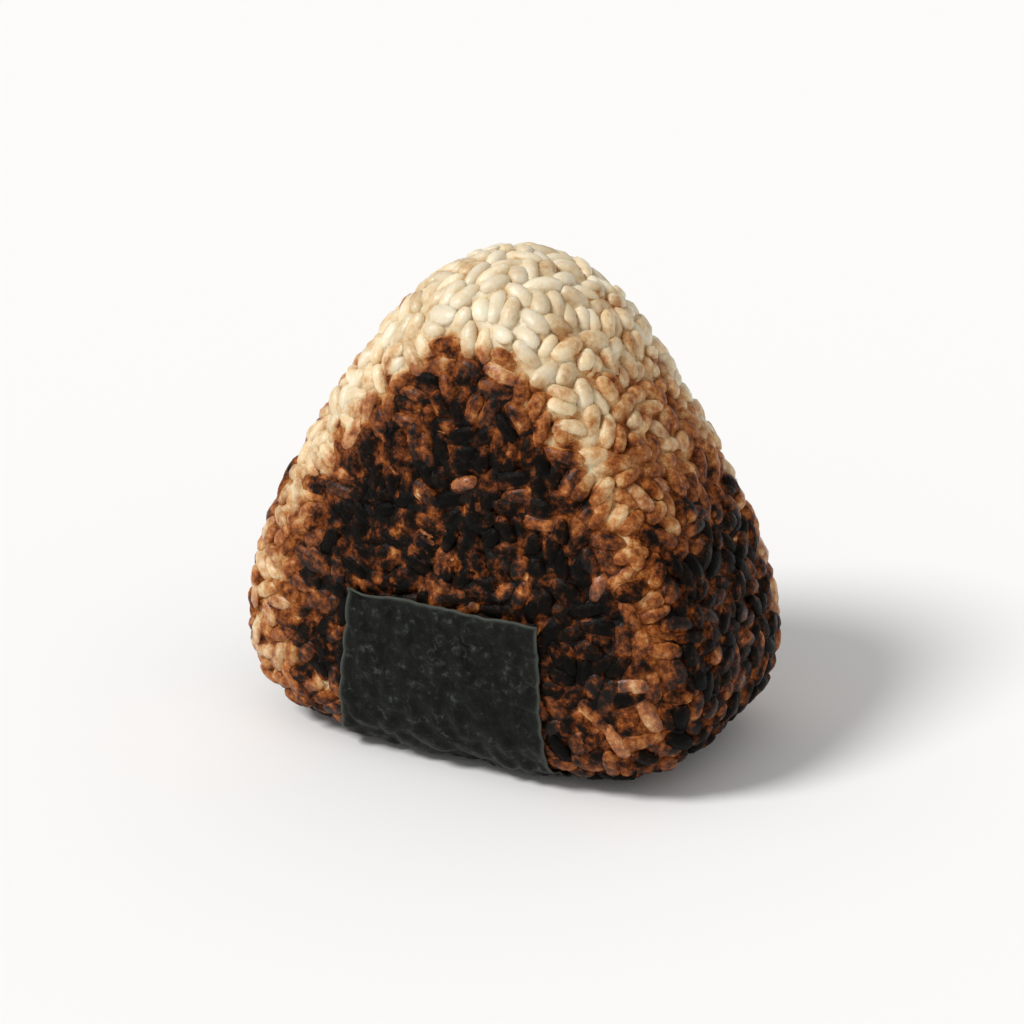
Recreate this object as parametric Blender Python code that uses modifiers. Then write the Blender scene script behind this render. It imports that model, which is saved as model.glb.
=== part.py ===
"""Grilled rice ball: a hand-pressed triangle of cooked rice that stands on its base, with a nori band.

Two solids. "rice" is the pressed ball out to its uneven skin. "nori" is the band that is laid on the front,
runs under the base and comes up the back; the ball stands on it. Metres, +Z up, front towards -Y.

The skin is one formula. Seen from the ball's centre, each flat of the ball (two sloping sides, the base, the
front and the back) sets how far the skin reaches, and the flats are blended so that they meet in soft edges.
"""

import math

import bmesh
import bpy
from mathutils import Vector, noise

MM = 0.001

# The ball, measured from its centre.
SIDE_REACH = 29.0 * MM  # centre to each sloping side
SIDE_TILT = math.radians(30)  # how far a side's normal points above the horizontal
BASE_REACH = 41.0 * MM  # centre to the base, before the ball settles on the table
FACE_REACH = 21.0 * MM  # centre to the front and to the back face
FACE_LEAN = math.radians(6)  # the faces lean in towards the apex
FLOOR_REACH = 34.0 * MM  # centre to the table that flattens the base
ROUND_SHARE = 0.27  # share of a plain circle in the triangle, which bows its sides
ROUND_REACH = 1.25 * SIDE_REACH
CORNER_POWER = 2.0  # higher powers give tighter edges: the triangle's three corners,
FACE_POWER = 4.0  # the edge round the front and back faces,
FLOOR_POWER = 8.0  # and the edge round the foot
FOOT_SINK = 0.35 * MM  # how much of the foot is pressed flat

# Unevenness of the skin, as shares of its reach. Both sizes are measured on the unit sphere of directions.
HOLLOW_SIZE, HOLLOW_HEIGHT = 0.75, 0.030  # soft hollows left by the palms
LUMP_SIZE, LUMP_HEIGHT = 0.13, 0.016  # lumps of the outermost grains
BALL_SUBDIVISIONS = 5

# The nori band.
NORI_THICKNESS = 0.4 * MM
NORI_GAP = 0.35 * MM  # clearance between the band and the skin
NORI_TOP_WIDTH = 30.5 * MM
NORI_BASE_WIDTH = 34.5 * MM
NORI_TOP_HEIGHT = 26.5 * MM  # both cut ends, above the table
NORI_SPINE_HEIGHT = 16.0 * MM  # below this the band turns round the spine, above it the band runs straight up
NORI_COLUMNS = 12
NORI_RISE_ROWS = 5  # rows on each straight stretch
NORI_TURN_ROWS = 24  # rows round the foot

RICE_COLOUR = (0.42, 0.22, 0.10, 1.0)
NORI_COLOUR = (0.012, 0.016, 0.012, 1.0)


def clear_scene():
    for obj in list(bpy.data.objects):
        bpy.data.objects.remove(obj, do_unlink=True)


def food_material(name, colour, roughness):
    material = bpy.data.materials.new(name)
    material.use_nodes = True
    shader = material.node_tree.nodes["Principled BSDF"]
    shader.inputs["Base Color"].default_value = colour
    shader.inputs["Roughness"].default_value = roughness
    shader.inputs["Metallic"].default_value = 0.0
    return material


def facing(direction, normal, reach):
    """How far along a flat's normal the direction points, as a share of the flat's reach. Zero behind it."""
    return max(0.0, direction.dot(normal)) / reach


def skin_reach(direction):
    """Distance from the ball's centre to its skin along a unit direction."""
    side_x, side_z = math.cos(SIDE_TILT), math.sin(SIDE_TILT)
    face_y, face_z = math.cos(FACE_LEAN), math.sin(FACE_LEAN)
    corners = (
        facing(direction, Vector((side_x, 0, side_z)), SIDE_REACH) ** CORNER_POWER
        + facing(direction, Vector((-side_x, 0, side_z)), SIDE_REACH) ** CORNER_POWER
        + facing(direction, Vector((0, 0, -1)), BASE_REACH) ** CORNER_POWER
    ) ** (1 / CORNER_POWER)
    circle = math.hypot(direction.x, direction.z) / ROUND_REACH
    triangle = (1 - ROUND_SHARE) * corners + ROUND_SHARE * circle
    body = (
        triangle**FACE_POWER
        + facing(direction, Vector((0, -face_y, face_z)), FACE_REACH) ** FACE_POWER
        + facing(direction, Vector((0, face_y, face_z)), FACE_REACH) ** FACE_POWER
    ) ** (1 / FACE_POWER)
    floor = facing(direction, Vector((0, 0, -1)), FLOOR_REACH)
    settled = (body**FLOOR_POWER + floor**FLOOR_POWER) ** (1 / FLOOR_POWER)
    hollows = HOLLOW_HEIGHT * noise.noise(direction / HOLLOW_SIZE)
    lumps = LUMP_HEIGHT * noise.noise(direction / LUMP_SIZE)
    return (1 + hollows + lumps) / settled


def ball_centre():
    """The centre, placed so that the foot sinks FOOT_SINK below where the band carries it."""
    carried_at = NORI_THICKNESS + NORI_GAP
    return Vector((0, 0, carried_at - FOOT_SINK + skin_reach(Vector((0, 0, -1)))))


def inside_skin(point, centre):
    arm = point - centre
    return arm.length < skin_reach(arm.normalized())


def skin_hit(start, direction, centre):
    """Where a ray from a point inside the ball leaves the skin, by halving."""
    near, far = 0.0, 3 * SIDE_REACH
    for _ in range(30):
        middle = (near + far) / 2
        if inside_skin(start + middle * direction, centre):
            near = middle
        else:
            far = middle
    return start + near * direction


def build_rice(centre, material):
    """The pressed ball: an icosphere whose points are pushed out to the skin, with its foot pressed flat."""
    mesh = bpy.data.meshes.new("rice")
    bm = bmesh.new()
    bmesh.ops.create_icosphere(bm, subdivisions=BALL_SUBDIVISIONS, radius=1.0)
    foot = NORI_THICKNESS + NORI_GAP
    for vertex in bm.verts:
        direction = vertex.co.normalized()
        vertex.co = centre + skin_reach(direction) * direction
        vertex.co.z = max(vertex.co.z, foot)
    bm.to_mesh(mesh)
    bm.free()
    mesh.shade_smooth()
    mesh.materials.append(material)
    return bpy.data.objects.new("rice", mesh)


def band_ray(row):
    """Start and direction, in the YZ plane, of the ray that places one row of the band, front end first."""
    last_turn = NORI_RISE_ROWS + NORI_TURN_ROWS
    rise = (NORI_TOP_HEIGHT - NORI_SPINE_HEIGHT) / NORI_RISE_ROWS
    if row <= NORI_RISE_ROWS:
        return NORI_TOP_HEIGHT - row * rise, Vector((0, -1, 0))
    if row >= last_turn:
        return NORI_SPINE_HEIGHT + (row - last_turn) * rise, Vector((0, 1, 0))
    turn = math.pi * (row - NORI_RISE_ROWS) / NORI_TURN_ROWS
    return NORI_SPINE_HEIGHT, Vector((0, -math.cos(turn), -math.sin(turn)))


def band_width(height):
    """The band is cut a little wider where it passes under the ball."""
    share = min(1.0, max(0.0, height / NORI_TOP_HEIGHT))
    return NORI_BASE_WIDTH + (NORI_TOP_WIDTH - NORI_BASE_WIDTH) * share


def build_nori(centre, material):
    """The band: a grid wrapped round the foot at NORI_GAP off the skin, and thickened outwards."""
    rows = 2 * NORI_RISE_ROWS + NORI_TURN_ROWS
    mesh = bpy.data.meshes.new("nori")
    bm = bmesh.new()
    bmesh.ops.create_grid(bm, x_segments=NORI_COLUMNS, y_segments=rows, size=0.5)
    for vertex in bm.verts:
        across, row = vertex.co.x, round((vertex.co.y + 0.5) * rows)
        height, direction = band_ray(row)
        middle = skin_hit(Vector((0, 0, height)), direction, centre)
        start = Vector((across * band_width(middle.z), 0, height))
        vertex.co = skin_hit(start, direction, centre)
    bm.normal_update()
    outwards = {v: math.copysign(1, v.normal.dot(v.co - centre)) * v.normal for v in bm.verts}
    for vertex, normal in outwards.items():
        vertex.co += NORI_GAP * normal
        vertex.co.z = max(vertex.co.z, NORI_THICKNESS)
    bm.normal_update()
    if sum(f.normal.dot(f.calc_center_median() - centre) for f in bm.faces) < 0:
        bmesh.ops.reverse_faces(bm, faces=bm.faces)
    bm.to_mesh(mesh)
    bm.free()
    mesh.materials.append(material)
    obj = bpy.data.objects.new("nori", mesh)
    thicken = obj.modifiers.new("thickness", "SOLIDIFY")
    thicken.thickness = NORI_THICKNESS
    thicken.offset = 1.0
    return obj


def centre_over_origin(parent, objects):
    """Moves the parent so that the objects' common box stands centred over the origin."""
    bpy.context.view_layer.update()
    graph = bpy.context.evaluated_depsgraph_get()
    corners = [
        obj.matrix_world @ Vector(corner)
        for obj in objects
        for corner in obj.evaluated_get(graph).bound_box
    ]
    for axis in (0, 1):
        values = [corner[axis] for corner in corners]
        parent.location[axis] = -(min(values) + max(values)) / 2


def build():
    clear_scene()
    collection = bpy.data.collections.new("grilled_rice_ball")
    bpy.context.scene.collection.children.link(collection)
    centre = ball_centre()
    rice = build_rice(centre, food_material("grilled_rice", RICE_COLOUR, 0.55))
    nori = build_nori(centre, food_material("nori_sheet", NORI_COLOUR, 0.45))
    stand = bpy.data.objects.new("stand", None)
    collection.objects.link(stand)
    for obj in (rice, nori):
        collection.objects.link(obj)
        obj.parent = stand
    centre_over_origin(stand, (rice, nori))


build()
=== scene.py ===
"""Grilled rice ball with a nori band: its looks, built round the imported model.

Sizes are millimetres unless a name or a comment says otherwise. Meshes are written in metres, +Z up, with
the front face towards -Y.
"""

import math

import bpy
import numpy as np
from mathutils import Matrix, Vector


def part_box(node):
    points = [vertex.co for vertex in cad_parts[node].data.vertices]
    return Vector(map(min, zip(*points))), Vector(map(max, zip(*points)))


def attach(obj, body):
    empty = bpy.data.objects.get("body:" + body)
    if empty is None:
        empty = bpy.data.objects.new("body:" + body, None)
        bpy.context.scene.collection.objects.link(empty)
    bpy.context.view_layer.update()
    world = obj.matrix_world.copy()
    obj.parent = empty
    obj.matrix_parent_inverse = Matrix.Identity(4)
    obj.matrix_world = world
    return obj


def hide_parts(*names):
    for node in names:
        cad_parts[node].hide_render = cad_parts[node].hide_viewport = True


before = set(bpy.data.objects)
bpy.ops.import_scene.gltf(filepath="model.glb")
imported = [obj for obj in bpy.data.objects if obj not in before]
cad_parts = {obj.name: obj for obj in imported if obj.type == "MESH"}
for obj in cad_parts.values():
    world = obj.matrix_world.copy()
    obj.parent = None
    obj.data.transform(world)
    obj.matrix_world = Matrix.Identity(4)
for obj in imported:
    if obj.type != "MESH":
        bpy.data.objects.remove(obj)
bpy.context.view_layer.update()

# ======================================================================================================
# The rice grains
# Cooked short-grain rice: plump, sticky grains about 6 mm long, pressed between two palms into a triangle
# with bowed sides, then brushed with soy and grilled on its faces and sides. They lie along the skin every
# way round, pushed apart until they fit, and their outer sides are pressed flat.
# ======================================================================================================

MM = 0.001

# The ball's skin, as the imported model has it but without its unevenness, measured from the ball's centre.
SIDE_REACH = 29.0  # centre to each sloping side
SIDE_TILT = math.radians(30)  # how far a side's normal points above the horizontal
BASE_REACH = 41.0  # centre to the base, before the ball settles on the table
FACE_REACH = 21.0  # centre to the front and to the back face
FACE_LEAN = math.radians(6)  # the faces lean in towards the apex
FLOOR_REACH = 34.0  # centre to the table that flattens the base
ROUND_SHARE = 0.27  # share of a plain circle in the triangle, which bows its sides
ROUND_REACH = 1.25 * SIDE_REACH
CORNER_POWER = 2.0  # higher powers give tighter edges: the triangle's three corners,
FACE_POWER = 4.0  # the edge round the front and back faces,
FLOOR_POWER = 8.0  # and the edge round the foot
FOOT_SINK = 0.35  # how much of the foot is pressed flat

SIDE_NORMAL = np.array([math.cos(SIDE_TILT), 0, math.sin(SIDE_TILT)])
FACE_NORMAL = np.array([0, math.cos(FACE_LEAN), math.sin(FACE_LEAN)])
DOWN = np.array([0.0, 0.0, -1.0])
MIRROR_X = np.array([-1, 1, 1])
MIRROR_Y = np.array([1, -1, 1])


def facing(directions, normal, reach):
    """How far each direction points along a flat's normal, over the flat's reach, and 0 behind it."""
    return np.maximum(0.0, directions @ normal) / reach


def triangle_facing(directions):
    """How far towards the triangle's outline each direction points: 1 / this is the outline's reach.

    The two sides and the base blend into a triangle with soft corners, by a power mean. A share of a circle
    bows its sides.
    """
    corners = (
        facing(directions, SIDE_NORMAL, SIDE_REACH) ** CORNER_POWER
        + facing(directions, SIDE_NORMAL * MIRROR_X, SIDE_REACH) ** CORNER_POWER
        + facing(directions, DOWN, BASE_REACH) ** CORNER_POWER
    ) ** (1 / CORNER_POWER)
    circle = np.hypot(directions[..., 0], directions[..., 2]) / ROUND_REACH
    return (1 - ROUND_SHARE) * corners + ROUND_SHARE * circle


def faces_facing(directions):
    """How far towards the front or the back face each direction points: 1 / this is the face's reach."""
    front = facing(directions, FACE_NORMAL * MIRROR_Y, FACE_REACH)
    rear = facing(directions, FACE_NORMAL, FACE_REACH)
    return (front**FACE_POWER + rear**FACE_POWER) ** (1 / FACE_POWER)


def skin_reach(directions):
    """Distance from the ball's centre to its pressed skin along unit directions.

    The triangle is cut by the two faces, and the table flattens its foot. Both blends are power means.
    """
    triangle, faces = triangle_facing(directions), faces_facing(directions)
    body = (triangle**FACE_POWER + faces**FACE_POWER) ** (1 / FACE_POWER)
    floor = facing(directions, DOWN, FLOOR_REACH)
    return (body**FLOOR_POWER + floor**FLOOR_POWER) ** (-1 / FLOOR_POWER)


rice_low, rice_high = (np.array(corner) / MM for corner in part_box("rice"))
centre = (rice_low + rice_high) / 2
centre[2] = rice_low[2] - FOOT_SINK + skin_reach(DOWN)


def split_reach(points):
    """Splits points into their distance from the centre and their unit direction from it."""
    arms = points - centre
    lengths = np.linalg.norm(arms, axis=-1)
    return lengths, arms / lengths[..., None]


def height_over_skin(points):
    """How far each point stands outside the skin, along its ray from the centre. Negative inside."""
    lengths, directions = split_reach(points)
    return lengths - skin_reach(directions)


def skin_normals(points):
    """Outward unit normals of the skin's family of surfaces: central differences of the height over it."""
    step = 0.01
    slopes = [
        height_over_skin(points + step * axis) - height_over_skin(points - step * axis)
        for axis in np.eye(3)
    ]
    normals = np.stack(slopes, axis=-1)
    return normals / np.linalg.norm(normals, axis=-1, keepdims=True)


def ramp(values, start, end):
    """0 at start and 1 at end, with a soft turn at both."""
    share = np.clip((values - start) / (end - start), 0, 1)
    return share * share * (3 - 2 * share)


def mixed(one, other, share):
    """The one value at share 0, the other at share 1, and straight between them."""
    return one + (other - one) * share


def patches(points, size, seed, waves=14):
    """Smooth random patches of about the given size, mostly between -1 and 1.

    They are a sum of sine waves that run in random directions, with half a wave to a patch.
    """
    pick = np.random.default_rng(seed)
    runs = pick.normal(size=(waves, 3))
    radians_per_mm = (math.tau / (2 * size)) * pick.uniform(0.7, 1.4, (waves, 1))
    runs *= radians_per_mm / np.linalg.norm(runs, axis=1, keepdims=True)
    return np.sin(points @ runs.T + pick.uniform(0, math.tau, waves)).sum(-1) / math.sqrt(waves)


# How far each part is grilled, with painted shade low on the sides and at the foot: 0 is plain, 0.5 is brown
# and 1 is black. Heights are above the centre. Where a line gives several levels, they say how much darker
# the part turns from one height down to another.
RIM_AT_APEX = 0.08
RIM_DARKENING = ((0.28, 0.12, 22, -2), (0.1, 0.14, -8, -24))  # how much, extra on the right, from, to
SIDE_AT_APEX = 0.22
# The sides darken towards the foot: partly grilled, and partly painted shade.
SIDE_BROWNING_AND_SHADE = ((0.26, 31, 13), (0.24, 14, 4), (0.17, 9, -1))  # how much, from, to
FACE_AT_RIM = 0.5
FACE_DARKENING = 0.33  # from its rim to its middle
FACE_DARKEST = 0.9
HOT_SPOT_DARKENING = 0.11
# The foot: partly grilled, and partly painted shade under the ball.
FOOT_BROWNING_AND_SHADE = 0.84
LEFT_SIDE_DELAY = 0.24  # a side beside a left rim starts to darken this much further in
DRIFT, DRIFT_SIZE = 0.06, 2.4  # how far the borders of the dark areas wander, and in patches of what size
BLOTCH, BLOTCH_SIZE = 0.12, 3.4  # patches of about a grain's length that are darker or lighter,
MOTTLE, MOTTLE_SIZE = 0.14, 1.6  # smaller ones within them,
FLECK, FLECK_SIZE = 0.36, 1.5  # and how much lighter the flecks in the black are

# Where the faces lay on the hottest bars: across to the right as one looks at that face, up, and radius.
FRONT_HOT_SPOTS = ((5, 24, 4), (-13, 4, 8), (5, 12, 8), (12, 1, 9), (24, -10, 7))
BACK_HOT_SPOTS = ((3, 22, 5), (-11, 8, 9), (9, 5, 8), (20, -10, 8), (-20, -13, 7))


def rim_browning(up, right):
    """The rims: nearly plain at the apex, tan from the shoulders down, and browner at the foot.

    right is 0 at the left rim and 1 at the right one, as one looks at a face. The right one is browner.
    """
    level = RIM_AT_APEX
    for darker, more_on_right, start, end in RIM_DARKENING:
        level = level + (darker + more_on_right * right) * ramp(up, start, end)
    return level


def side_browning_and_shade(up):
    """The sides: straw near the apex, then tan, then brown, and nearly black from half height down."""
    level = SIDE_AT_APEX
    # Partly grilling, and from half height down partly painted shade.
    for darker, start, end in SIDE_BROWNING_AND_SHADE:
        level = level + darker * ramp(up, start, end)
    return level


def face_browning(depth, across, ahead, up):
    """The faces: brown at the rim, nearly black further in, and blackest on the hot spots."""
    level = FACE_AT_RIM + FACE_DARKENING * ramp(depth, 0.04, 0.38)
    for spots, near in ((FRONT_HOT_SPOTS, ahead < 0), (BACK_HOT_SPOTS, ahead > 0)):
        for spot_across, spot_up, radius in spots:
            away = np.hypot(across - spot_across, up - spot_up) / radius
            level = level + HOT_SPOT_DARKENING * near * ramp(away, 1.5, 0.5)  # soft from half the radius on
    return np.minimum(level, FACE_DARKEST)


def browning(points):
    """How far the rice is grilled at each point.

    The grill darkens the two faces and the sides; low on the sides and under the foot the dark is partly
    painted shade. The depth into a face or a side is 1 less the ratio of how far a point faces the one and
    the other, so it is 0 where face and side meet.
    Patches break every border up, and small flecks stay brown in the black.
    """
    _, directions = split_reach(points)
    faces, triangle = faces_facing(directions), triangle_facing(directions)
    across, ahead, up = np.moveaxis(points - centre, -1, 0)
    across = across * np.sign(-ahead)
    right = ramp(across, -8, 8)
    drift = DRIFT * patches(points, DRIFT_SIZE, 1)
    into_side = 1 - np.minimum(faces / triangle, 2) + drift
    into_face = 1 - np.minimum(triangle / np.maximum(faces, 1e-6), 2) + drift + 0.0025 * across - 0.02

    side_share = ramp(into_side - LEFT_SIDE_DELAY * (1 - right), 0.02, 0.34)
    side_share = side_share * ramp(np.abs(directions[..., 0]), 0.2, 0.45)  # the apex stays pale
    brown = mixed(rim_browning(up, right), side_browning_and_shade(up), side_share)
    brown = mixed(brown, face_browning(into_face, across, ahead, up), ramp(into_face, -0.02, 0.12))
    # The foot under the ball goes nearly black: partly grilled, partly painted shade.
    brown = mixed(brown, FOOT_BROWNING_AND_SHADE, ramp(-directions[..., 2], 0.56, 0.76))

    unevenness = 0.6 + 0.4 * ramp(brown, 0.1, 0.5)
    mottling = BLOTCH * patches(points, BLOTCH_SIZE, 2) + MOTTLE * patches(points, MOTTLE_SIZE, 3)
    flecks = FLECK * ramp(brown, 0.6, 0.75) * ramp(patches(points, FLECK_SIZE, 6), 0.65, 1.25)
    return brown - flecks + unevenness * mottling


def add_piece(name, points, faces, **values):
    """A smooth-shaded mesh object from points in mm, with a float attribute for each named value."""
    mesh = bpy.data.meshes.new(name)
    mesh.from_pydata((points * MM).tolist(), [], faces)
    mesh.shade_smooth()
    for label, numbers in values.items():
        mesh.attributes.new(label, "FLOAT", "POINT").data.foreach_set("value", numbers)
    piece = bpy.data.objects.new(name, mesh)
    bpy.context.scene.collection.objects.link(piece)
    return piece


def linear(hex_colour):
    """Turns an sRGB hex colour into the linear RGBA that shaders take."""
    values = np.array([int(hex_colour[i : i + 2], 16) for i in (1, 3, 5)]) / 255
    return (*np.where(values <= 0.04045, values / 12.92, ((values + 0.055) / 1.055) ** 2.4), 1.0)


def add_node(material, kind, settings, inputs):
    """Adds a node with its settings. An input, by name or number, is a value or the socket that feeds it."""
    node = material.node_tree.nodes.new("ShaderNode" + kind)
    for name, value in settings.items():
        setattr(node, name, value)
    for name, value in inputs.items():
        if isinstance(value, bpy.types.NodeSocket):
            material.node_tree.links.new(value, node.inputs[name])
        else:
            node.inputs[name].default_value = value
    return node


def add_colour_stops(material, share, stops):
    """A colour ramp over share, with a stop for each position and hex colour. Returns its colour output."""
    node = add_node(material, "ValToRGB", {}, {"Fac": share})
    elements = node.color_ramp.elements
    while len(elements) < len(stops):
        elements.new(0.5)
    for element, (position, _) in zip(elements, stops):
        element.position = position
    for element, (_, hex_colour) in zip(elements, stops):
        element.color = linear(hex_colour)
    return node.outputs["Color"]


def per_metre(size):
    """Texture scale, in repeats a metre, at which a pattern's features are about this many millimetres."""
    return 1 / (size * MM)


# What the grill does to rice brushed with soy: cream, straw, tan, orange brown, brown, near black, black.
BROWNING_STOPS = (
    (0.00, "#f6e7ca"),
    (0.16, "#e8cda2"),
    (0.32, "#c99964"),
    (0.46, "#a9642f"),
    (0.60, "#7a3f1b"),
    (0.72, "#42210f"),
    (0.82, "#170e08"),
    (1.00, "#080705"),
)
SPECK_SIZE = 1.3  # browned specks of starch on a grain
WRINKLE_SIZE = 0.55  # wrinkles and blisters of the dried outer skin
SEE_THROUGH = 1.2  # how deep light goes into pale rice


def grilled_rice(name, softness, shine, crackle):
    """Cooked rice, soy-brushed and grilled: moist and a little see-through when pale, glazed when brown.

    When black it is a dull crackled crust.
    softness is its subsurface share, shine its specular level, and crackle its relief in millimetres. The
    attribute toast says how far each point is grilled, with painted shade low on the sides and at the foot,
    and tone how light each grain is among its like.
    """
    material = bpy.data.materials.new(name)
    material.use_nodes = True
    shader = material.node_tree.nodes["Principled BSDF"]
    link = material.node_tree.links.new
    place = add_node(material, "TexCoord", {}, {}).outputs["Object"]
    toast = add_node(material, "Attribute", {"attribute_name": "toast"}, {}).outputs["Fac"]
    tone = add_node(material, "Attribute", {"attribute_name": "tone"}, {}).outputs["Fac"]
    specks = add_node(
        material,
        "TexNoise",
        {},
        {"Vector": place, "Scale": per_metre(SPECK_SIZE), "Detail": 5.0, "Roughness": 0.7},
    ).outputs["Fac"]
    # Specks swing the level further on browned rice than on plain rice.
    swing = add_node(
        material,
        "MapRange",
        {},
        {"Value": toast, "From Min": 0.08, "From Max": 0.5, "To Min": 0.4, "To Max": 1.1},
    ).outputs["Result"]
    centred = add_node(material, "Math", {"operation": "SUBTRACT"}, {0: specks, 1: 0.5}).outputs[0]
    level = add_node(
        material, "Math", {"operation": "MULTIPLY_ADD"}, {0: centred, 1: swing, 2: toast}
    ).outputs[0]
    colour = add_colour_stops(material, level, BROWNING_STOPS)
    shade = add_node(
        material, "MapRange", {}, {"Value": tone, "To Min": 0.84, "To Max": 1.05}
    ).outputs["Result"]
    toned = add_node(
        material, "VectorMath", {"operation": "SCALE"}, {0: colour, "Scale": shade}
    ).outputs[0]
    link(toned, shader.inputs["Base Color"])
    wetness = add_node(
        material, "MapRange", {}, {"Value": level, "To Min": 0.3, "To Max": 0.42}
    ).outputs["Result"]
    link(wetness, shader.inputs["Roughness"])
    wrinkles = add_node(
        material,
        "TexNoise",
        {},
        {"Vector": place, "Scale": per_metre(WRINKLE_SIZE), "Detail": 3.0, "Roughness": 0.6},
    ).outputs["Fac"]
    relief = add_node(
        material, "Bump", {}, {"Height": wrinkles, "Distance": crackle * MM, "Strength": 0.8}
    ).outputs["Normal"]
    link(relief, shader.inputs["Normal"])
    shader.inputs["Specular IOR Level"].default_value = shine
    shader.inputs["Subsurface Weight"].default_value = softness
    shader.inputs["Subsurface Radius"].default_value = (1.0, 0.55, 0.3)
    shader.inputs["Subsurface Scale"].default_value = SEE_THROUGH * MM
    return material


GRAINS = 1500
GRAIN_HALF = np.array([2.75, 1.36, 1.12])  # half the length, width and thickness of a usual grain
GRAIN_SPREAD = (0.14, 0.09, 0.09)  # how much these differ between grains, as shares
GRAIN_LIMITS = (0.66, 1.25)  # the smallest and the largest share of the usual size
GRAIN_FULLNESS = 0.86  # below 1 the grain is plumper than an ellipsoid
GRAIN_TAPER, GRAIN_SWELL = 0.07, 0.05  # by how much a usual grain's girth differs along it, as shares
GRAIN_BEND, GRAIN_BOW = 0.16, 0.22  # how far a grain's ends bend to one side, and bow in round the ball
GRAIN_RINGS = 6
GRAIN_SIDES = 8
GRAIN_DEPTH = 1.0  # from the skin to a usual grain's middle
BALL_RADIUS = 1.24  # of each of the three balls that stand for a grain while the grains settle
SETTLE_ROUNDS = 70
SPOTS_PER_GRAIN = 16


def scatter(count, depth, seed):
    """Spreads grain middles evenly over the skin, depth below it, and gives each a random axis.

    They are drawn from spots on a golden spiral round the ball. Each spot's chance is in proportion to the
    skin that it stands for: its reach squared, over the cosine between its ray and the skin's normal.
    """
    pick = np.random.default_rng(seed)
    spots = SPOTS_PER_GRAIN * count
    heights = 1 - (2 * np.arange(spots) + 1) / spots
    turns = math.pi * (1 + math.sqrt(5)) * np.arange(spots)
    rings = np.sqrt(1 - heights**2)
    spread = np.stack([rings * np.cos(turns), rings * np.sin(turns), heights], -1)
    on_skin = centre + spread * skin_reach(spread)[:, None]
    area = skin_reach(spread) ** 2 / (spread * skin_normals(on_skin)).sum(1)
    chosen = pick.choice(spots, count, replace=False, p=area / area.sum())
    middles = centre + spread[chosen] * (skin_reach(spread[chosen]) - depth)[:, None]
    return middles, pick.normal(size=(count, 3))


def lay_flat(middles, axes, depth):
    """Draws grain middles back to depth below the skin and turns their axes along it."""
    _, ways = split_reach(middles)
    middles = centre + ways * (skin_reach(ways) - depth)[:, None]
    normals = skin_normals(middles)
    axes = axes - normals * (axes * normals).sum(1, keepdims=True)
    return middles, axes / np.linalg.norm(axes, axis=1, keepdims=True), normals


def settle(middles, axes, depth, rounds, radius):
    """Pushes grains apart until they lie side by side.

    Each grain counts as three balls along its axis. Where balls of two grains overlap, both grains move
    apart by part of the overlap and turn away from it, and are then laid flat on their depth again.
    """
    move_share, turn_share = 0.16, 0.06
    too_close = 0.05  # keeps balls that share a middle from dividing by nothing
    could_touch = 2 * GRAIN_HALF[0] + 0.5
    reach = np.array([-1.0, 0.0, 1.0]) * (GRAIN_HALF[0] - radius)
    for _ in range(rounds):
        middles, axes, _ = lay_flat(middles, axes, depth)
        gaps = ((middles[:, None] - middles[None]) ** 2).sum(-1)
        one, other = np.nonzero(np.triu(gaps < could_touch**2, 1))
        balls = middles[:, None] + axes[:, None] * reach[:, None]
        apart = balls[one][:, :, None] - balls[other][:, None, :]
        distance = np.linalg.norm(apart, axis=-1)
        overlap = np.maximum(0, 2 * radius - distance)
        push = apart * (overlap / np.maximum(distance, too_close))[..., None]
        move = np.zeros_like(middles)
        turn = np.zeros_like(middles)
        np.add.at(move, one, push.sum((1, 2)))
        np.add.at(move, other, -push.sum((1, 2)))
        np.add.at(turn, one, (push.sum(2) * reach[:, None]).sum(1))
        np.add.at(turn, other, -(push.sum(1) * reach[:, None]).sum(1))
        middles = middles + move_share * move
        axes = axes + turn_share * turn
    return lay_flat(middles, axes, depth)


def grain_shape():
    """One grain of unit size, along X: rings of points from end to end, and faces that close both ends.

    Its outline is a superellipse: the cosine and the sine of the turn, both to the power GRAIN_FULLNESS.
    """
    turns = math.pi * np.arange(1, GRAIN_RINGS + 1) / (GRAIN_RINGS + 1)
    round_about = math.tau * np.arange(GRAIN_SIDES) / GRAIN_SIDES
    along = np.sign(np.cos(turns)) * np.abs(np.cos(turns)) ** GRAIN_FULLNESS
    width = np.sin(turns) ** GRAIN_FULLNESS
    rings = np.stack(
        [
            np.repeat(along, GRAIN_SIDES),
            np.outer(width, np.cos(round_about)).ravel(),
            np.outer(width, np.sin(round_about)).ravel(),
        ],
        -1,
    )
    points = np.vstack([[[1, 0, 0]], rings, [[-1, 0, 0]]])
    ring = 1 + np.arange(GRAIN_RINGS)[:, None] * GRAIN_SIDES + np.arange(GRAIN_SIDES)
    after = np.roll(ring, -1, axis=1)
    quads = np.stack([ring[:-1], ring[1:], after[1:], after[:-1]], -1).reshape(-1, 4)
    first = np.stack([np.zeros(GRAIN_SIDES, int), ring[0], after[0]], -1)
    last = np.stack([ring[-1], np.full(GRAIN_SIDES, len(points) - 1), after[-1]], -1)
    return points, quads, np.vstack([first, last])


unit_points, unit_quads, unit_ends = grain_shape()


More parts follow.
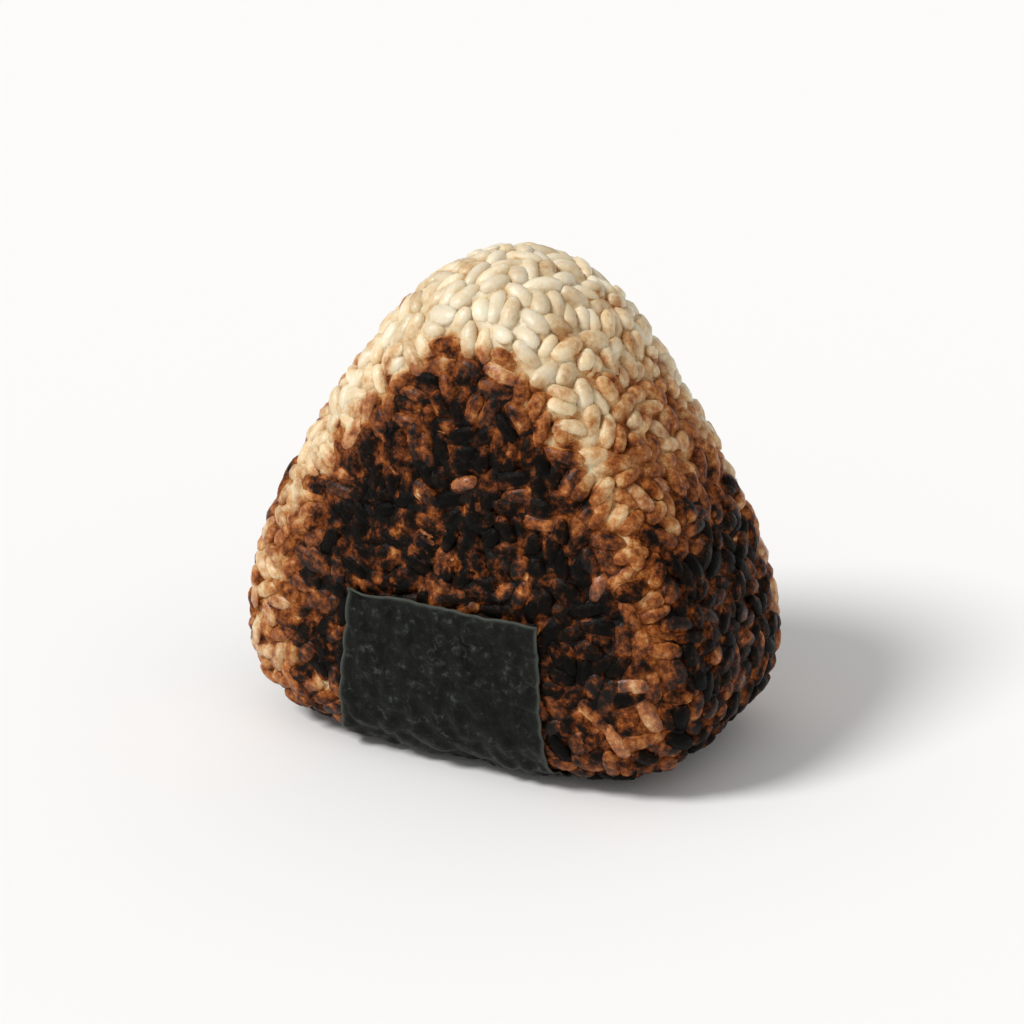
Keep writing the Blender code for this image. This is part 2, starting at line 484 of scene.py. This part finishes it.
def grain_points(middles, axes, normals, sizes, seed):
    """One row of points for each grain: the unit grain stretched, then bent, tapered and swollen by chance.

    Its ends bow in towards the ball, by the square of the distance along the grain.
    """
    pick = np.random.default_rng(seed)
    sides = np.cross(normals, axes)
    x, y, z = unit_points.T
    bend, taper, swell, phase = (pick.normal(size=(len(middles), 1)) for _ in range(4))
    girth = 1 + GRAIN_TAPER * taper * x + GRAIN_SWELL * swell * np.sin(2.6 * x + phase)
    along = sizes[:, :1] * x
    across = sizes[:, 1:2] * girth * y + GRAIN_BEND * bend * x**2
    up = sizes[:, 2:] * girth * z - GRAIN_BOW * x**2
    return (
        middles[:, None]
        + along[..., None] * axes[:, None]
        + across[..., None] * sides[:, None]
        + up[..., None] * normals[:, None]
    )


def press(points, proud):
    """Flattens what stands over the skin, by a hyperbolic tangent, to end at most this far above it."""
    _, ways = split_reach(points)
    over = height_over_skin(points)
    pressed = np.where(over > 0, proud * np.tanh(over / proud), over)
    return points + ways * (pressed - over)[..., None]


def looseness(normals):
    """0 on the faces, which the palms pressed flat, and 1 on the rims and sides."""
    return 1 - ramp(np.abs(normals[..., 1]), 0.75, 0.95)


def add_grains(name, points, toast, tone, material):
    """One piece from all the grains of a kind."""
    start = np.arange(len(points))[:, None, None] * len(unit_points)
    quads = (unit_quads + start).reshape(-1, 4)
    ends = (unit_ends + start).reshape(-1, 3)
    piece = add_piece(
        name,
        points.reshape(-1, 3),
        quads.tolist() + ends.tolist(),
        toast=toast.ravel(),
        tone=tone.ravel(),
    )
    piece.data.materials.append(material)
    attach(piece, "root")
    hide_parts("rice")


# Where the grains lie. Those on the rims and sides are tipped further and stand prouder than on the faces.
TIP, TIP_LOOSE = 6, 7  # usual tip of a grain on a face in degrees, and how much more it is on a rim or side
PROUD, PROUD_LOOSE = 0.16, 0.2  # highest over the skin on a face, and how much more on a rim or side
SUNK_FROM, SUNK_TO = -0.2, 0.35  # each grain sinks by chance between these
chance = np.random.default_rng(7)
middles, axes = scatter(GRAINS, GRAIN_DEPTH, 11)
middles, axes, normals = settle(middles, axes, GRAIN_DEPTH, SETTLE_ROUNDS, BALL_RADIUS)
sizes = GRAIN_HALF * np.clip(chance.normal(1, GRAIN_SPREAD, (GRAINS, 3)), *GRAIN_LIMITS)
loose = looseness(normals)
tip = chance.normal(size=GRAINS) * np.radians(TIP + TIP_LOOSE * loose)
leans = axes * np.cos(tip)[:, None] + normals * np.sin(tip)[:, None]
stands = normals * np.cos(tip)[:, None] - axes * np.sin(tip)[:, None]
sides = np.cross(stands, leans)
sunk = chance.uniform(SUNK_FROM, SUNK_TO, GRAINS) * (0.7 + 0.5 * loose)
middles = middles - normals * sunk[:, None]
proud = PROUD + PROUD_LOOSE * loose
points = press(grain_points(middles, leans, stands, sizes, 12), proud[:, None])

# How far each grain is grilled, with painted shade low on the sides and at the foot: partly as its place is,
# and partly all over by chance, brown ones the more.
# What reaches down between its neighbours in the black stays a little lighter.
BY_PLACE, BY_GRAIN = 0.6, 0.4
SUNK_LIGHTER = 0.2
heat = browning(middles)
heat_spread = 0.06 + 0.1 * ramp(heat, 0.12, 0.5)
grain_toast = heat + np.clip(chance.normal(size=GRAINS), -1.1, 1.8) * heat_spread
sinking = np.clip(-height_over_skin(points), 0, 1)
toast = BY_PLACE * browning(points) + BY_GRAIN * grain_toast[:, None]
toast = toast - SUNK_LIGHTER * sinking * ramp(toast, 0.4, 0.8)
tone = np.repeat(chance.uniform(0, 1, (GRAINS, 1)), len(unit_points), axis=1)

# Three kinds by how far they are grilled, because pale rice is soft and shiny and char is neither.
BROWNED_FROM = 0.3
CHARRED_FROM = 0.72
pale = grain_toast < BROWNED_FROM
charred = grain_toast >= CHARRED_FROM
soy_brushed_rice = grilled_rice("soy_brushed_rice", softness=0.25, shine=0.5, crackle=0.16)
browned_rice = grilled_rice("browned_rice", softness=0.08, shine=0.16, crackle=0.12)
charred_rice = grilled_rice("charred_rice", softness=0.0, shine=0.06, crackle=0.22)
kinds = (
    ("pale_grains", pale, soy_brushed_rice),
    ("browned_grains", ~pale & ~charred, browned_rice),
    ("charred_grains", charred, charred_rice),
)
for name, chosen, material in kinds:
    add_grains(name, points[chosen], toast[chosen], tone[chosen], material)

# ======================================================================================================
# The crust between the grains
# Starch paste from the cooking, and soy brushed on for the grill, fill the gaps and stick the grains into
# one mass. The paste rises in a fillet to every grain, and stands highest where the palms pressed it flat.
# It is a closed skin just under the grain tops, and stands for the ball's whole heart.
# ======================================================================================================

CRUST_CELLS = 120
PASTE_BLEND = 3.2  # per millimetre: lower values fill the gaps between grains more softly
PASTE_BELOW = 0.14  # how far the paste stays under the grain tops on the faces,
PASTE_BELOW_LOOSE = 0.2  # and how much further on the rims and sides
PASTE_LUMPS = 0.07  # height of the paste's own lumps
PASTE_HIGHEST = 0.05  # over the skin
GRAINS_BELOW = 4.0  # grains further than this from a place, along their normal, lie elsewhere on the ball
PLACES_AT_ONCE = 4000  # keeps the arrays of places by grains small


def grid_quads(rows, columns):
    """Quads over a grid of points that are numbered row by row."""
    corner = np.arange(rows)[:, None] * columns + np.arange(columns)
    quads = np.stack([corner[:-1, :-1], corner[1:, :-1], corner[1:, 1:], corner[:-1, 1:]], -1)
    return quads.reshape(-1, 4)


def ball_grid(cells):
    """Unit directions all round, and quads over them: six square grids on a cube, pushed out to a sphere.

    Grid lines are spaced by equal angles, and the points that neighbouring grids share are merged.
    """
    steps = np.tan(np.linspace(-1, 1, cells + 1) * math.pi / 4)
    across, up = np.meshgrid(steps, steps, indexing="ij")
    quads = grid_quads(cells + 1, cells + 1)
    faces, face_quads = [], []
    for axis in range(3):
        for sign in (-1, 1):
            face = np.stack([np.full_like(across, sign), sign * across, up], -1).reshape(-1, 3)
            face_quads.append(quads + len(faces) * len(face))
            faces.append(np.roll(face, axis, axis=1))
    points, merged = np.unique(np.concatenate(faces).round(6), axis=0, return_inverse=True)
    points /= np.linalg.norm(points, axis=1, keepdims=True)
    return points, merged.reshape(-1)[np.concatenate(face_quads)]


def over_grains(places, blend):
    """Height over the skin of the grains below each place on it: a soft maximum of the domes of all grains.

    A grain's dome is the upper half of an ellipsoid, tipped as the grain is. The soft maximum is the
    logarithm of a sum of exponentials, and blend is its sharpness per millimetre. Where there is no grain
    it falls to GRAIN_DEPTH below the skin.
    """
    heights = []
    middle_heights = height_over_skin(middles)
    for some in np.array_split(places, math.ceil(len(places) / PLACES_AT_ONCE)):
        along, across, above = (some @ ways.T - (middles * ways).sum(1) for ways in (leans, sides, stands))
        bulge = 1 - (along / sizes[:, 0]) ** 2 - (across / sizes[:, 1]) ** 2
        dome = np.sqrt(np.maximum(0, bulge)) * sizes[:, 2] + middle_heights + along * np.sin(tip)
        under = (bulge > 0) & (np.abs(above) < GRAINS_BELOW)
        total = (under * np.exp(blend * dome)).sum(1) + math.exp(-blend * GRAIN_DEPTH)
        heights.append(np.log(total) / blend)
    return np.concatenate(heights)


directions, crust_quads = ball_grid(CRUST_CELLS)
skin_points = centre + directions * skin_reach(directions)[:, None]
crust_toast = browning(skin_points)
crust_loose = looseness(skin_normals(skin_points))
crust_height = over_grains(skin_points, PASTE_BLEND) - PASTE_BELOW - PASTE_BELOW_LOOSE * crust_loose
crust_height = crust_height + PASTE_LUMPS * patches(skin_points, 1.2, 4)
crust_height = np.minimum(crust_height, PASTE_HIGHEST)
crust = add_piece(
    "starch_crust",
    skin_points + directions * crust_height[:, None],
    crust_quads.tolist(),
    toast=crust_toast - 0.12 * ramp(crust_toast, 0.45, 0.8) + 0.06,
    tone=np.full(len(crust_toast), 0.35),
)
crust.data.materials.append(grilled_rice("starch_and_soy_crust", softness=0.08, shine=0.1, crackle=0.2))
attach(crust, "root")
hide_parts("rice")

# ======================================================================================================
# The nori band
# A strip cut from a sheet of dried laver: seaweed pulp spread thin on a bamboo mat and dried, so that it is
# black green and full of fine fibres. Laid on the warm rice, it softens and takes the shape of the grains.
# ======================================================================================================

NORI_TOP_WIDTH = 30.5
NORI_BASE_WIDTH = 34.5
NORI_SPINE_HEIGHT = 16.0  # below this the band turns round the spine, above it the band runs straight up
NORI_TURN_LENGTH = 62.0  # sets the turn's share of the rows, a little under its true length
NORI_THICKNESS = 0.25
NORI_ROWS = 270
NORI_COLUMNS = 92
NORI_ROW_STEP = 0.36  # what a row counts for in the distance to a cut end, a little over its true length
NORI_CLEARANCE = 0.36  # from the grain tops to the band's inner side
NORI_OFF_TABLE = 0.02

# How the band lies on the grains. Lifts and heights are millimetres off the rice.
GRAIN_BLEND = 12.0  # per millimetre: how sharply the band feels single grains
GRAIN_TOP = 0.34  # pressed grains stand no further over the skin
DRAPE_PASSES = 5
EDGE_LIFT, EDGE_CURL = 0.5, 1.1  # height of the curl along every cut edge, and how far in it fades
END_LIFT, END_CURL = 0.5, 1.3  # and of the further curl at the two ends
CREASE_HEIGHT = 0.28
RIPPLE_HEIGHT = 0.04
UNEVEN_CUT, UNEVEN_FADE = 0.25, 2.0  # how far the knife strayed at the two ends
EDGE_HIGHLIGHT_WIDTH = 0.7  # width of the painted highlight along the cut edges
CREASE_HIGHLIGHT = 0.55  # how strong a crease's painted highlight is, where a cut edge is 1

nori_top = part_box("nori")[1][2] / MM


def skin_hits(starts, ways):
    """Where rays from points inside the ball leave its skin, by halving."""
    near = np.zeros(len(starts))
    far = np.full(len(starts), 2.5 * SIDE_REACH)
    for _ in range(26):
        middle = (near + far) / 2
        inside = height_over_skin(starts + middle[:, None] * ways) < 0
        near = np.where(inside, middle, near)
        far = np.where(inside, far, middle)
    return starts + near[:, None] * ways


def band_rays(rows):
    """Height and direction of the ray that places each row: down the front, round the foot, up the back."""
    rise = nori_top - NORI_SPINE_HEIGHT
    lengths = np.linspace(-rise, NORI_TURN_LENGTH + rise, rows)
    past_turn = np.maximum(-lengths, lengths - NORI_TURN_LENGTH)
    turns = math.pi * np.clip(lengths / NORI_TURN_LENGTH, 0, 1)
    ways = np.stack([np.zeros(rows), -np.cos(turns), -np.sin(turns)], -1)
    return NORI_SPINE_HEIGHT + np.maximum(0, past_turn), ways


def eased(heights):
    """The mean of each point and its four neighbours on the grid."""
    wide = np.pad(heights, 1, mode="edge")
    return (wide[:-2, 1:-1] + wide[2:, 1:-1] + wide[1:-1, :-2] + wide[1:-1, 2:] + heights) / 5


# The band on the bare skin: a row's points start side by side on the spine and run out the same way.
row_heights, row_ways = band_rays(NORI_ROWS)
spine = np.stack([np.full(NORI_ROWS, centre[0]), np.full(NORI_ROWS, centre[1]), row_heights], -1)
height_shares = np.clip(skin_hits(spine, row_ways)[:, 2] / nori_top, 0, 1)
row_widths = NORI_BASE_WIDTH + (NORI_TOP_WIDTH - NORI_BASE_WIDTH) * height_shares
shares = np.linspace(-0.5, 0.5, NORI_COLUMNS)
starts = np.repeat(spine[:, None], NORI_COLUMNS, axis=1)
starts[..., 0] += shares * row_widths[:, None]
ways = np.repeat(row_ways[:, None], NORI_COLUMNS, axis=1)
sheet_points = skin_hits(starts.reshape(-1, 3), ways.reshape(-1, 3))
sheet = sheet_points.reshape(NORI_ROWS, NORI_COLUMNS, 3)
sheet_normals = skin_normals(sheet_points).reshape(NORI_ROWS, NORI_COLUMNS, 3)
above_table = sheet[..., 2]

# The drape: the band rests on the grain tops, and spans the gaps between them.
contact = over_grains(sheet_points, GRAIN_BLEND).reshape(NORI_ROWS, NORI_COLUMNS)
contact = np.minimum(contact, GRAIN_TOP)
drape = contact
for _ in range(DRAPE_PASSES):
    drape = np.maximum(contact, eased(drape))
drape = np.maximum(contact, eased(eased(drape)))

# Its cut edges curl up as they dry, and low creases run where the wrapping pushed it together. Both fade
# towards the foot, where the ball's weight holds it down.
from_side = (0.5 - np.abs(shares)) * row_widths[:, None]
rows_from_end = np.minimum(np.arange(NORI_ROWS), np.arange(NORI_ROWS)[::-1])
from_end = rows_from_end[:, None] * NORI_ROW_STEP * np.ones(NORI_COLUMNS)
from_edge = np.minimum(from_side, from_end)
lift = EDGE_LIFT * np.exp(-from_edge / EDGE_CURL) * (0.75 + 0.5 * patches(sheet, 6.0, 31))
lift = lift + END_LIFT * np.exp(-from_end / END_CURL) * (0.8 + 0.5 * patches(sheet, 9.0, 32))
lift = lift * ramp(above_table, 1.5, 6.0)
creases = ramp(np.abs(patches(sheet, 4.0, 35)), 0.22, 0.0) * ramp(patches(sheet, 8.0, 36), -0.4, 0.3)
creases = creases * ramp(above_table, 2.0, 7.0)
ripples = RIPPLE_HEIGHT * patches(sheet, 1.3, 33)
sheet_height = NORI_CLEARANCE + drape + lift + CREASE_HEIGHT * creases + ripples
band = sheet + sheet_normals * sheet_height[..., None]
band[..., 2] += UNEVEN_CUT * np.exp(-from_end / UNEVEN_FADE) * patches(sheet, 4.0, 34)

# Under the foot it lies on the table, and rises a little towards both faces.
from_spine = np.abs(sheet[..., 1] - centre[1])
lowest = NORI_THICKNESS + NORI_OFF_TABLE + 0.1 * ramp(from_spine, 6, 20)
band[..., 2] = np.maximum(band[..., 2], lowest)

# A painted highlight, paler in the colour, along the cut edges and on the creases.
fringe = np.maximum(np.exp(-from_edge / EDGE_HIGHLIGHT_WIDTH), CREASE_HIGHLIGHT * creases)
nori = add_piece(
    "nori_band", band.reshape(-1, 3), grid_quads(NORI_ROWS, NORI_COLUMNS).tolist(), fringe=fringe.ravel()
)
wall = nori.modifiers.new("thickness", "SOLIDIFY")
wall.thickness = NORI_THICKNESS * MM
wall.offset = 1.0

PULP_SIZE = 1.5  # clots of pulp, between which the sheet is thin
FIBRE_SIZE = 0.5
FIBRE_RELIEF = 0.2
# Black green, to grey green where the pulp is thin and where the edge and crease highlight is painted.
LAVER_STOPS = ((0.0, "#090a08"), (0.45, "#161814"), (1.0, "#474b44"))


def dried_laver():
    """Dried laver: black green pulp with a soft gloss, paler and greyer where it is thin, and with a painted
    highlight along its cut edges and creases.

    The painted highlight's attribute says how near each point is to a cut edge or a crease.
    """
    material = bpy.data.materials.new("dried_laver")
    material.use_nodes = True
    shader = material.node_tree.nodes["Principled BSDF"]
    link = material.node_tree.links.new
    place = add_node(material, "TexCoord", {}, {}).outputs["Object"]
    highlight_share = add_node(material, "Attribute", {"attribute_name": "fringe"}, {}).outputs["Fac"]
    pulp = add_node(
        material,
        "TexNoise",
        {},
        {
            "Vector": place,
            "Scale": per_metre(PULP_SIZE),
            "Detail": 6.0,
            "Roughness": 0.75,
            "Distortion": 0.3,
        },
    ).outputs["Fac"]
    thin = add_node(
        material, "MapRange", {}, {"Value": pulp, "From Min": 0.44, "From Max": 0.72}
    ).outputs["Result"]
    # The painted highlight along the cut edges and creases lightens the colour there.
    edge = add_node(material, "Math", {"operation": "MULTIPLY"}, {0: highlight_share, 1: 1.1}).outputs[0]
    pale = add_node(material, "Math", {"operation": "MAXIMUM"}, {0: thin, 1: edge}).outputs[0]
    link(add_colour_stops(material, pale, LAVER_STOPS), shader.inputs["Base Color"])
    fibres = add_node(
        material,
        "TexNoise",
        {},
        {"Vector": place, "Scale": per_metre(FIBRE_SIZE), "Detail": 3.0, "Roughness": 0.6},
    ).outputs["Fac"]
    gloss = add_node(
        material, "MapRange", {}, {"Value": fibres, "To Min": 0.3, "To Max": 0.55}
    ).outputs["Result"]
    link(gloss, shader.inputs["Roughness"])
    relief = add_node(
        material, "Bump", {}, {"Height": fibres, "Distance": FIBRE_RELIEF * MM, "Strength": 0.8}
    ).outputs["Normal"]
    link(relief, shader.inputs["Normal"])
    shader.inputs["Specular IOR Level"].default_value = 0.12
    return material


nori.data.materials.append(dried_laver())
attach(nori, "root")
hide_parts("nori")

# ======================================================================================================
# The table, the light and the camera
# A matt white table in a bright studio: an even sky, and one broad soft lamp from the upper left in front.
# The camera stands to the right of the front and looks down on the ball through a long lens.
# ======================================================================================================

TABLE_HALF = 3.0  # metres
TABLE_CORNERS = ((-1, -1), (1, -1), (1, 1), (-1, 1))

table_mesh = bpy.data.meshes.new("table")
table_points = [(x * TABLE_HALF, y * TABLE_HALF, 0) for x, y in TABLE_CORNERS]
table_mesh.from_pydata(table_points, [], [(0, 1, 2, 3)])
table = bpy.data.objects.new("table", table_mesh)
bpy.context.scene.collection.objects.link(table)
table_paint = bpy.data.materials.new("matt_white_table")
table_paint.use_nodes = True
table_shader = table_paint.node_tree.nodes["Principled BSDF"]
table_shader.inputs["Base Color"].default_value = linear("#fbfaf8")
table_shader.inputs["Roughness"].default_value = 0.9
table_shader.inputs["Specular IOR Level"].default_value = 0.1
table_mesh.materials.append(table_paint)

sky = bpy.data.worlds.new("studio")
bpy.context.scene.world = sky
sky.use_nodes = True
background = sky.node_tree.nodes["Background"]
background.inputs["Strength"].default_value = 0.5
background.inputs["Color"].default_value = (1, 1, 1, 1)


def view_from(azimuth, elevation):
    """Unit vector towards a viewer; azimuth 0 is in front, and positive azimuths are to the right."""
    a, e = math.radians(azimuth), math.radians(elevation)
    return Vector((math.sin(a) * math.cos(e), -math.cos(a) * math.cos(e), math.sin(e)))


def looking_along(back):
    """Turns that point an object's -Z away from back and keep its X level, as lamps and cameras need."""
    return back.to_track_quat("Z", "Y").to_euler()


lamp_data = bpy.data.lights.new("key", "SUN")
lamp_data.energy = 2.2
lamp_data.angle = math.radians(18)
lamp = bpy.data.objects.new("key", lamp_data)
lamp.rotation_euler = looking_along(view_from(azimuth=-38, elevation=48))
bpy.context.scene.collection.objects.link(lamp)

CAMERA_AWAY = 583.1
CAMERA_LENS = 139.8  # on a sensor 36 mm wide
BALL_IN_VIEW = Vector((0.1, 0.47, 0))  # the ball's centre from the middle of the view: right and up

camera_data = bpy.data.cameras.new("camera")
camera_data.sensor_width = 36.0
camera_data.lens = CAMERA_LENS
camera = bpy.data.objects.new("camera", camera_data)
back = view_from(azimuth=27.0, elevation=23.4)
camera.rotation_euler = looking_along(back)
aim = Vector(centre * MM) - camera.rotation_euler.to_matrix() @ BALL_IN_VIEW * MM
camera.location = aim + back * (CAMERA_AWAY * MM)
bpy.context.scene.collection.objects.link(camera)
bpy.context.scene.camera = camera
bpy.context.scene.view_settings.view_transform = "Standard"
